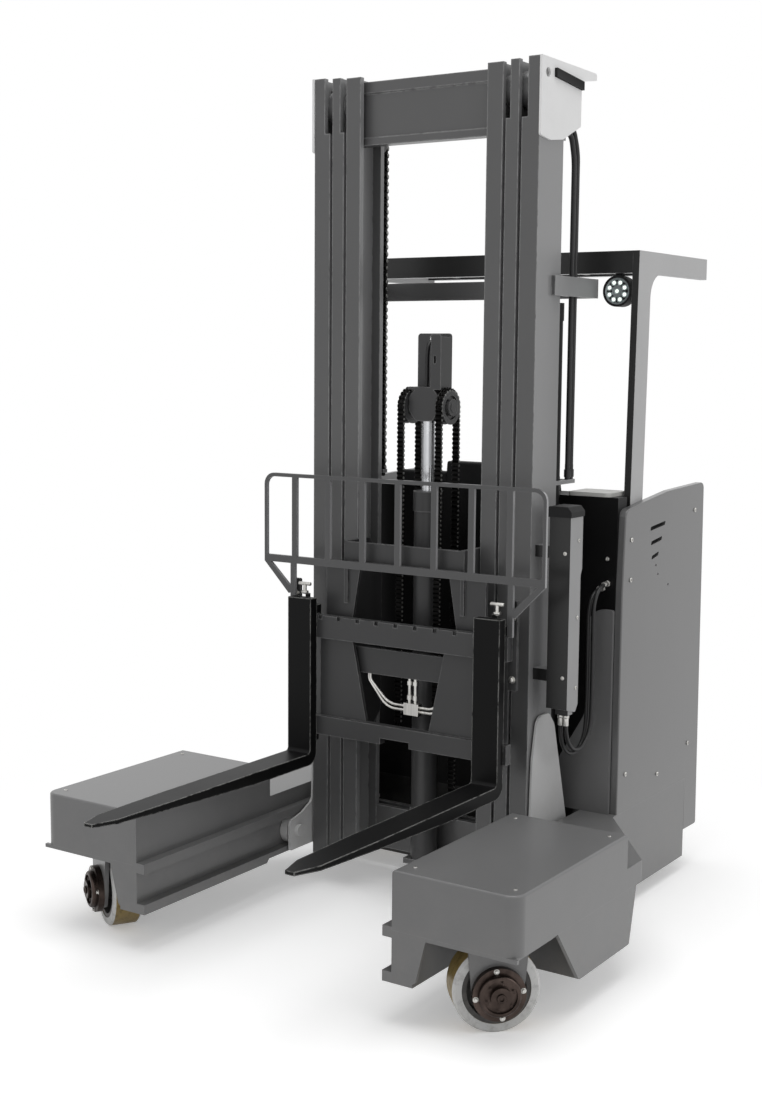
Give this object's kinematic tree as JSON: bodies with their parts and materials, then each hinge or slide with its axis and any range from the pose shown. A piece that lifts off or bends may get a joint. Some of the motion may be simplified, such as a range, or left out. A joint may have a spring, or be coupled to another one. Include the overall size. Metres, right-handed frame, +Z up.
{
  "type": "multi-directional reach truck",
  "caption": "Stand-on reach truck with steered load wheels in wide legs, a reaching three-stage mast, load backrest, forks and overhead guard.",
  "frame": {"origin": "on the floor, midway between the fork tips and the rear of the body, on the centre plane", "axes": "+Z up, -Y towards the fork tips, +X the truck's left side"},
  "size_m": [1.844, 2.2998, 2.935],
  "materials": {
    "dark_paint": "satin",
    "grey_paint": "satin",
    "light_paint": "satin",
    "black_paint": "satin",
    "black_plastic": "matte",
    "steel": "machined",
    "chrome": "polished",
    "iron": "cast",
    "tread": "cast polyurethane",
    "rubber": "matte",
    "battery": "plain block"
  },
  "bodies": {
    "chassis": {"leg_frame_left": "grey_paint", "leg_frame_right": "grey_paint", "leg_cover_left": "grey_paint", "leg_cover_right": "grey_paint", "chassis_frame": "grey_paint", "side_panel_left": "grey_paint", "side_panel_right": "grey_paint", "front_wall": "black_paint", "front_pads": "grey_paint", "battery_block": "battery", "console": "black_plastic", "rear_wall": "black_paint", "operator_floor": "rubber", "overhead_guard": "light_paint", "work_lamps": "black_plastic", "hood_cover": "light_paint", "controls": "black_plastic", "display": "black_plastic", "loop_hose_outer": "rubber", "loop_hose_inner": "rubber"},
    "steer_left": {"steer_yoke_left": "grey_paint", "wheel_hub_left": "iron"},
    "steer_right": {"steer_yoke_right": "grey_paint", "wheel_hub_right": "iron"},
    "load_wheel_left": {"load_rim_left": "iron", "load_tyre_left": "tread"},
    "load_wheel_right": {"load_rim_right": "iron", "load_tyre_right": "tread"},
    "drive_steer": {"drive_unit": "iron"},
    "drive_roll": {"drive_wheel": "iron", "drive_tyre": "tread"},
    "castor": {"castor_fork": "iron"},
    "castor_roll": {"castor_wheels": "tread"},
    "reach": {"reach_carriage": "light_paint"},
    "mast_outer": {"mast_outer": "dark_paint", "mast_top_plates": "light_paint", "mast_side_cover": "black_paint", "side_cover_cap": "black_plastic", "lift_barrels": "black_paint", "mast_hoses": "rubber"},
    "mast_middle": {"mast_middle": "dark_paint", "lift_rods": "chrome", "main_sheaves": "steel", "main_chains": "steel"},
    "mast_inner": {"mast_inner": "dark_paint", "free_barrel": "grey_paint"},
    "free_lift_head": {"free_head": "dark_paint", "free_sheaves": "steel", "free_chains": "steel", "head_hoses": "rubber", "free_rod": "chrome"},
    "carriage": {"fork_carriage": "black_paint", "load_backrest": "black_paint", "carriage_pipes": "chrome"},
    "fork_left": {"fork_left": "black_paint"},
    "fork_right": {"fork_right": "black_paint"}
  },
  "joints": [
    {"name": "steer_left", "type": "hinge", "parent": "chassis", "child": "steer_left", "pos_m": [0.748, -0.635, 0.132], "axis": [0, 0, 1], "range_deg": [-47, 93]},
    {"name": "steer_right", "type": "hinge", "parent": "chassis", "child": "steer_right", "pos_m": [-0.748, -0.635, 0.132], "axis": [0, 0, 1], "range_deg": [-103, 37]},
    {"name": "load_wheel_left_roll", "type": "hinge", "parent": "steer_left", "child": "load_wheel_left", "pos_m": [0.748, -0.635, 0.132], "axis": [0.6691, -0.7431, 0], "continuous": true},
    {"name": "load_wheel_right_roll", "type": "hinge", "parent": "steer_right", "child": "load_wheel_right", "pos_m": [-0.748, -0.635, 0.132], "axis": [0.5299, 0.848, 0], "continuous": true},
    {"name": "drive_steer", "type": "hinge", "parent": "chassis", "child": "drive_steer", "pos_m": [-0.4, 0.602, 0.155], "axis": [0, 0, 1], "range_deg": [-90, 90]},
    {"name": "drive_wheel_roll", "type": "hinge", "parent": "drive_steer", "child": "drive_roll", "pos_m": [-0.4, 0.602, 0.155], "axis": [1, 0, 0], "continuous": true},
    {"name": "castor_swivel", "type": "hinge", "parent": "chassis", "child": "castor", "pos_m": [0.4, 0.862, 0.2], "axis": [0, 0, 1], "continuous": true},
    {"name": "castor_roll", "type": "hinge", "parent": "castor", "child": "castor_roll", "pos_m": [0.4, 0.907, 0.08], "axis": [1, 0, 0], "continuous": true},
    {"name": "reach_slide", "type": "slide", "parent": "chassis", "child": "reach", "axis": [0, -1, 0], "range_m": [0, 0.6]},
    {"name": "mast_tilt", "type": "hinge", "parent": "reach", "child": "mast_outer", "pos_m": [0, 0.185, 0.185], "axis": [1, 0, 0], "range_deg": [-3, 2]},
    {"name": "mast_lift", "type": "slide", "parent": "mast_outer", "child": "mast_middle", "axis": [0, 0, 1], "range_m": [0, 1.65], "deforming": ["main_chains"]},
    {"name": "mast_lift_inner", "type": "slide", "parent": "mast_middle", "child": "mast_inner", "axis": [0, 0, 1], "range_m": [0, 1.65]},
    {"name": "free_lift_head", "type": "slide", "parent": "mast_inner", "child": "free_lift_head", "axis": [0, 0, 1], "range_m": [-0.24, 0.64], "deforming": ["free_chains"]},
    {"name": "free_lift", "type": "slide", "parent": "mast_inner", "child": "carriage", "axis": [0, 0, 1], "range_m": [-0.48, 1.28]},
    {"name": "fork_left_shift", "type": "slide", "parent": "carriage", "child": "fork_left", "axis": [1, 0, 0], "range_m": [-0.235, 0]},
    {"name": "fork_right_shift", "type": "slide", "parent": "carriage", "child": "fork_right", "axis": [1, 0, 0], "range_m": [0, 0.235]}
  ],
  "couplings": [
    {"joint": "mast_lift_inner", "follows": "mast_lift", "ratio": 1},
    {"joint": "free_lift_head", "follows": "free_lift", "ratio": 0.5}
  ]
}
